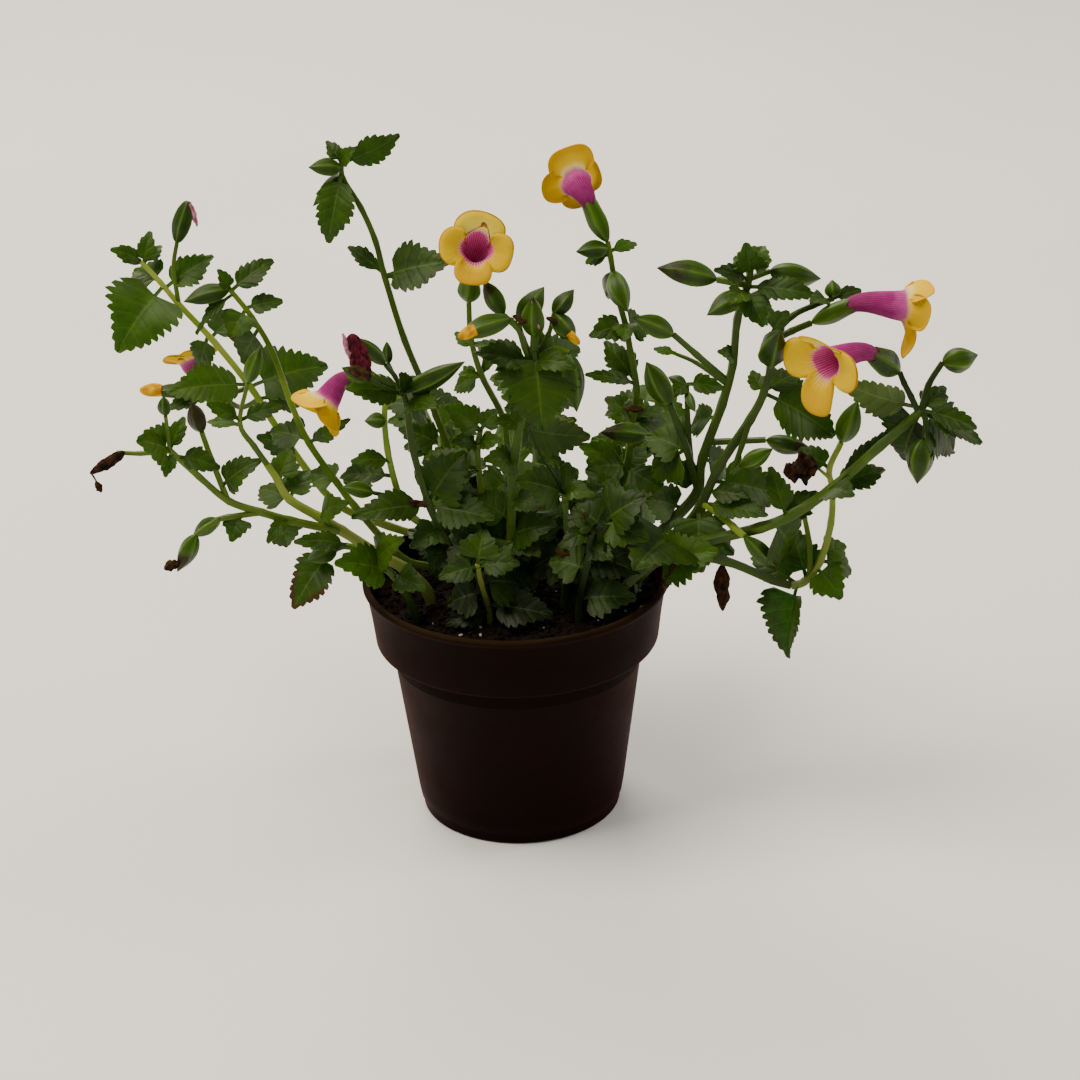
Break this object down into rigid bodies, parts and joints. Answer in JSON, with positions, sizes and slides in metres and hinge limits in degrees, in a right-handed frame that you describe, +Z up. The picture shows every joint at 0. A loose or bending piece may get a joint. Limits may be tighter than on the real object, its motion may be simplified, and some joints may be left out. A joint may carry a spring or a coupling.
{
  "type": "potted flower",
  "caption": "Bushy wishbone flower with toothed green leaves, ribbed buds and purple-throated yellow blooms, growing from dark soil in a round black nursery pot that stands on its flat base.",
  "frame": {"origin": "centre of the pot's flat base, on its resting plane", "axes": "+Z up along the pot's axis, -Y towards the picture's viewer, +X to the viewer's right"},
  "size_m": [0.3067, 0.1578, 0.2454],
  "materials": {
    "pot": "satin",
    "soil": "matte",
    "leaves": "satin",
    "corolla_tube": "matte",
    "petals": "matte",
    "stamens": "matte",
    "dried": "matte",
    "faded_corolla": "matte"
  },
  "bodies": {
    "root": {"pot": "pot", "soil": "soil", "shoot_far_left": "leaves", "shoot_left_upper": "leaves", "shoot_left_low": "leaves", "shoot_left_rim": "leaves", "shoot_tall": "leaves", "shoot_left_centre": "leaves", "shoot_bloom_centre": "leaves", "shoot_centre_left": "leaves", "shoot_centre": "leaves", "shoot_centre_right": "leaves", "shoot_front_right": "leaves", "shoot_front": "leaves", "shoot_bloom_top": "leaves", "shoot_right_top": "leaves", "shoot_right_middle": "leaves", "shoot_right_far": "leaves", "shoot_right_low": "leaves", "shoot_back_left": "leaves", "shoot_back_middle": "leaves", "shoot_back_right": "leaves", "bloom_far_left_tube": "corolla_tube", "bloom_far_left_lobes": "petals", "bloom_left_tube": "corolla_tube", "bloom_left_lobes": "petals", "bloom_centre_tube": "corolla_tube", "bloom_centre_lobes": "petals", "bloom_top_tube": "corolla_tube", "bloom_top_lobes": "petals", "bloom_right_tube": "corolla_tube", "bloom_right_lobes": "petals", "bloom_right_low_tube": "corolla_tube", "bloom_right_low_lobes": "petals", "bloom_centre_stamens": "stamens", "bud_tip_far_left": "petals", "bud_tip_centre": "petals", "bud_tip_right": "petals", "dried_bud_left": "dried", "dried_corolla": "faded_corolla", "dried_flower_right": "dried", "dried_pod_right": "dried"}
  },
  "joints": []
}
